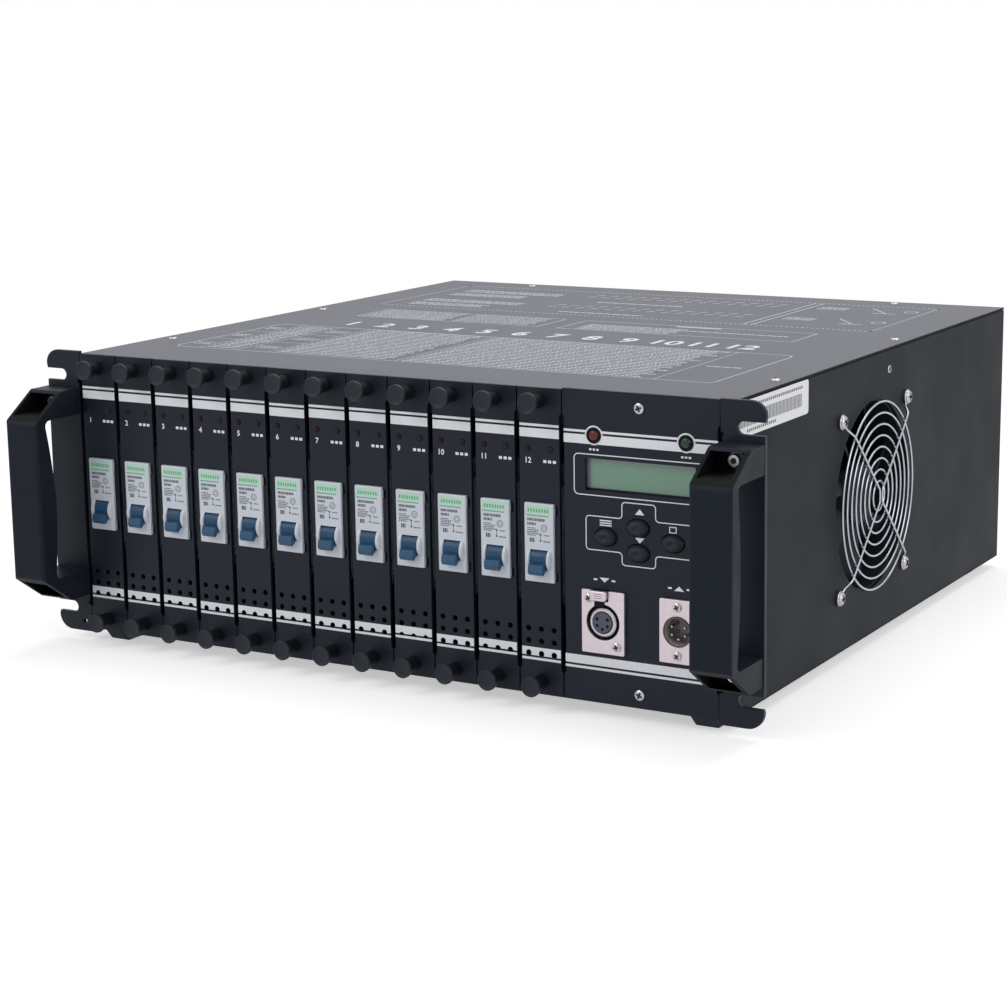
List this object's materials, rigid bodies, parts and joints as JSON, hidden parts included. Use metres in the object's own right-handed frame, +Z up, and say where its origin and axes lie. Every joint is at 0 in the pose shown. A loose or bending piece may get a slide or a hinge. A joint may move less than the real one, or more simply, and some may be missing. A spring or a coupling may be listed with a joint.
{
  "type": "dimmer pack",
  "caption": "Rack-mount lighting dimmer pack: sheet-metal case with rack ears and pull handles, plug-in channel modules with breakers, a control panel with display and keys, and a side fan.",
  "frame": {"origin": "on the surface that the feet stand on, under the middle of the bounding box", "axes": "+X to the right as seen from the front, along the row of modules; +Y from the front panel to the rear; +Z up"},
  "size_m": [0.4826, 0.5032, 0.183],
  "materials": {
    "case_paint": "fine textured grey-black powder coat",
    "front_paint": "smooth satin blue-black paint",
    "handle_black": "satin black, slightly grained",
    "breaker_white": "off-white moulded thermoset, semi-gloss",
    "lever_blue": "blue moulded plastic, semi-gloss",
    "black_plastic": "black moulded plastic",
    "circuit_board": "green solder resist",
    "connector_metal": "satin nickel plate, slightly warm",
    "chrome_wire": "bright plated wire",
    "foot_rubber": "matte black rubber"
  },
  "bodies": {
    "case": {"chassis": "case_paint", "top_cover": "case_paint", "rear_panel": "case_paint", "output_terminals": "black_plastic", "case_frame": "front_paint", "backplane": "circuit_board", "handle_left": "handle_black", "handle_right": "handle_black", "control_panel": "front_paint", "control_board": "circuit_board", "dmx_out_socket": "connector_metal", "dmx_in_plug": "connector_metal", "fan_housing": "black_plastic", "fan_grille": "chrome_wire", "foot_front_left": "foot_rubber", "foot_front_right": "foot_rubber", "foot_rear_left": "foot_rubber", "foot_rear_right": "foot_rubber"},
    "module_01": {"module_01_carrier": "front_paint", "module_01_breaker": "breaker_white"},
    "module_02": {"module_02_carrier": "front_paint", "module_02_breaker": "breaker_white"},
    "module_03": {"module_03_carrier": "front_paint", "module_03_breaker": "breaker_white"},
    "module_04": {"module_04_carrier": "front_paint", "module_04_breaker": "breaker_white"},
    "module_05": {"module_05_carrier": "front_paint", "module_05_breaker": "breaker_white"},
    "module_06": {"module_06_carrier": "front_paint", "module_06_breaker": "breaker_white"},
    "module_07": {"module_07_carrier": "front_paint", "module_07_breaker": "breaker_white"},
    "module_08": {"module_08_carrier": "front_paint", "module_08_breaker": "breaker_white"},
    "module_09": {"module_09_carrier": "front_paint", "module_09_breaker": "breaker_white"},
    "module_10": {"module_10_carrier": "front_paint", "module_10_breaker": "breaker_white"},
    "module_11": {"module_11_carrier": "front_paint", "module_11_breaker": "breaker_white"},
    "module_12": {"module_12_carrier": "front_paint", "module_12_breaker": "breaker_white"},
    "lever_01": {"module_01_lever": "lever_blue"},
    "lever_02": {"module_02_lever": "lever_blue"},
    "lever_03": {"module_03_lever": "lever_blue"},
    "lever_04": {"module_04_lever": "lever_blue"},
    "lever_05": {"module_05_lever": "lever_blue"},
    "lever_06": {"module_06_lever": "lever_blue"},
    "lever_07": {"module_07_lever": "lever_blue"},
    "lever_08": {"module_08_lever": "lever_blue"},
    "lever_09": {"module_09_lever": "lever_blue"},
    "lever_10": {"module_10_lever": "lever_blue"},
    "lever_11": {"module_11_lever": "lever_blue"},
    "lever_12": {"module_12_lever": "lever_blue"},
    "key_menu": {"button_menu": "black_plastic"},
    "key_up": {"button_up": "black_plastic"},
    "key_down": {"button_down": "black_plastic"},
    "key_esc": {"button_esc": "black_plastic"},
    "outlet_latch": {"dmx_out_latch": "connector_metal"},
    "rotor": {"fan_rotor": "black_plastic"}
  },
  "joints": [
    {"name": "module_01_slide", "type": "slide", "parent": "case", "child": "module_01", "axis": [0, -1, 0], "range_m": [0, 0.335]},
    {"name": "module_02_slide", "type": "slide", "parent": "case", "child": "module_02", "axis": [0, -1, 0], "range_m": [0, 0.335]},
    {"name": "module_03_slide", "type": "slide", "parent": "case", "child": "module_03", "axis": [0, -1, 0], "range_m": [0, 0.335]},
    {"name": "module_04_slide", "type": "slide", "parent": "case", "child": "module_04", "axis": [0, -1, 0], "range_m": [0, 0.335]},
    {"name": "module_05_slide", "type": "slide", "parent": "case", "child": "module_05", "axis": [0, -1, 0], "range_m": [0, 0.335]},
    {"name": "module_06_slide", "type": "slide", "parent": "case", "child": "module_06", "axis": [0, -1, 0], "range_m": [0, 0.335]},
    {"name": "module_07_slide", "type": "slide", "parent": "case", "child": "module_07", "axis": [0, -1, 0], "range_m": [0, 0.335]},
    {"name": "module_08_slide", "type": "slide", "parent": "case", "child": "module_08", "axis": [0, -1, 0], "range_m": [0, 0.335]},
    {"name": "module_09_slide", "type": "slide", "parent": "case", "child": "module_09", "axis": [0, -1, 0], "range_m": [0, 0.335]},
    {"name": "module_10_slide", "type": "slide", "parent": "case", "child": "module_10", "axis": [0, -1, 0], "range_m": [0, 0.335]},
    {"name": "module_11_slide", "type": "slide", "parent": "case", "child": "module_11", "axis": [0, -1, 0], "range_m": [0, 0.335]},
    {"name": "module_12_slide", "type": "slide", "parent": "case", "child": "module_12", "axis": [0, -1, 0], "range_m": [0, 0.335]},
    {"name": "lever_01_pivot", "type": "hinge", "parent": "module_01", "child": "lever_01", "pos_m": [-0.2013, -0.2064, 0.08575], "axis": [-1, 0, 0], "range_deg": [0, 60]},
    {"name": "lever_02_pivot", "type": "hinge", "parent": "module_02", "child": "lever_02", "pos_m": [-0.1733, -0.2064, 0.08575], "axis": [-1, 0, 0], "range_deg": [0, 60]},
    {"name": "lever_03_pivot", "type": "hinge", "parent": "module_03", "child": "lever_03", "pos_m": [-0.1453, -0.2064, 0.08575], "axis": [-1, 0, 0], "range_deg": [0, 60]},
    {"name": "lever_04_pivot", "type": "hinge", "parent": "module_04", "child": "lever_04", "pos_m": [-0.1173, -0.2064, 0.08575], "axis": [-1, 0, 0], "range_deg": [0, 60]},
    {"name": "lever_05_pivot", "type": "hinge", "parent": "module_05", "child": "lever_05", "pos_m": [-0.0893, -0.2064, 0.08575], "axis": [-1, 0, 0], "range_deg": [0, 60]},
    {"name": "lever_06_pivot", "type": "hinge", "parent": "module_06", "child": "lever_06", "pos_m": [-0.0613, -0.2064, 0.08575], "axis": [-1, 0, 0], "range_deg": [0, 60]},
    {"name": "lever_07_pivot", "type": "hinge", "parent": "module_07", "child": "lever_07", "pos_m": [-0.0333, -0.2064, 0.08575], "axis": [-1, 0, 0], "range_deg": [0, 60]},
    {"name": "lever_08_pivot", "type": "hinge", "parent": "module_08", "child": "lever_08", "pos_m": [-0.0053, -0.2064, 0.08575], "axis": [-1, 0, 0], "range_deg": [0, 60]},
    {"name": "lever_09_pivot", "type": "hinge", "parent": "module_09", "child": "lever_09", "pos_m": [0.0227, -0.2064, 0.08575], "axis": [-1, 0, 0], "range_deg": [0, 60]},
    {"name": "lever_10_pivot", "type": "hinge", "parent": "module_10", "child": "lever_10", "pos_m": [0.0507, -0.2064, 0.08575], "axis": [-1, 0, 0], "range_deg": [0, 60]},
    {"name": "lever_11_pivot", "type": "hinge", "parent": "module_11", "child": "lever_11", "pos_m": [0.0787, -0.2064, 0.08575], "axis": [-1, 0, 0], "range_deg": [0, 60]},
    {"name": "lever_12_pivot", "type": "hinge", "parent": "module_12", "child": "lever_12", "pos_m": [0.1067, -0.2064, 0.08575], "axis": [-1, 0, 0], "range_deg": [0, 60]},
    {"name": "menu_press", "type": "slide", "parent": "case", "child": "key_menu", "axis": [0, 1, 0], "range_m": [0, 0.0015], "stiffness_N_per_m": 800},
    {"name": "up_press", "type": "slide", "parent": "case", "child": "key_up", "axis": [0, 1, 0], "range_m": [0, 0.0015], "stiffness_N_per_m": 800},
    {"name": "down_press", "type": "slide", "parent": "case", "child": "key_down", "axis": [0, 1, 0], "range_m": [0, 0.0015], "stiffness_N_per_m": 800},
    {"name": "esc_press", "type": "slide", "parent": "case", "child": "key_esc", "axis": [0, 1, 0], "range_m": [0, 0.0015], "stiffness_N_per_m": 800},
    {"name": "latch_press", "type": "slide", "parent": "case", "child": "outlet_latch", "axis": [0, 1, 0], "range_m": [0, 0.0015], "stiffness_N_per_m": 1000},
    {"name": "fan_spin", "type": "hinge", "parent": "case", "child": "rotor", "pos_m": [0.2022, -0.0017, 0.094], "axis": [1, 0, 0], "continuous": true}
  ]
}
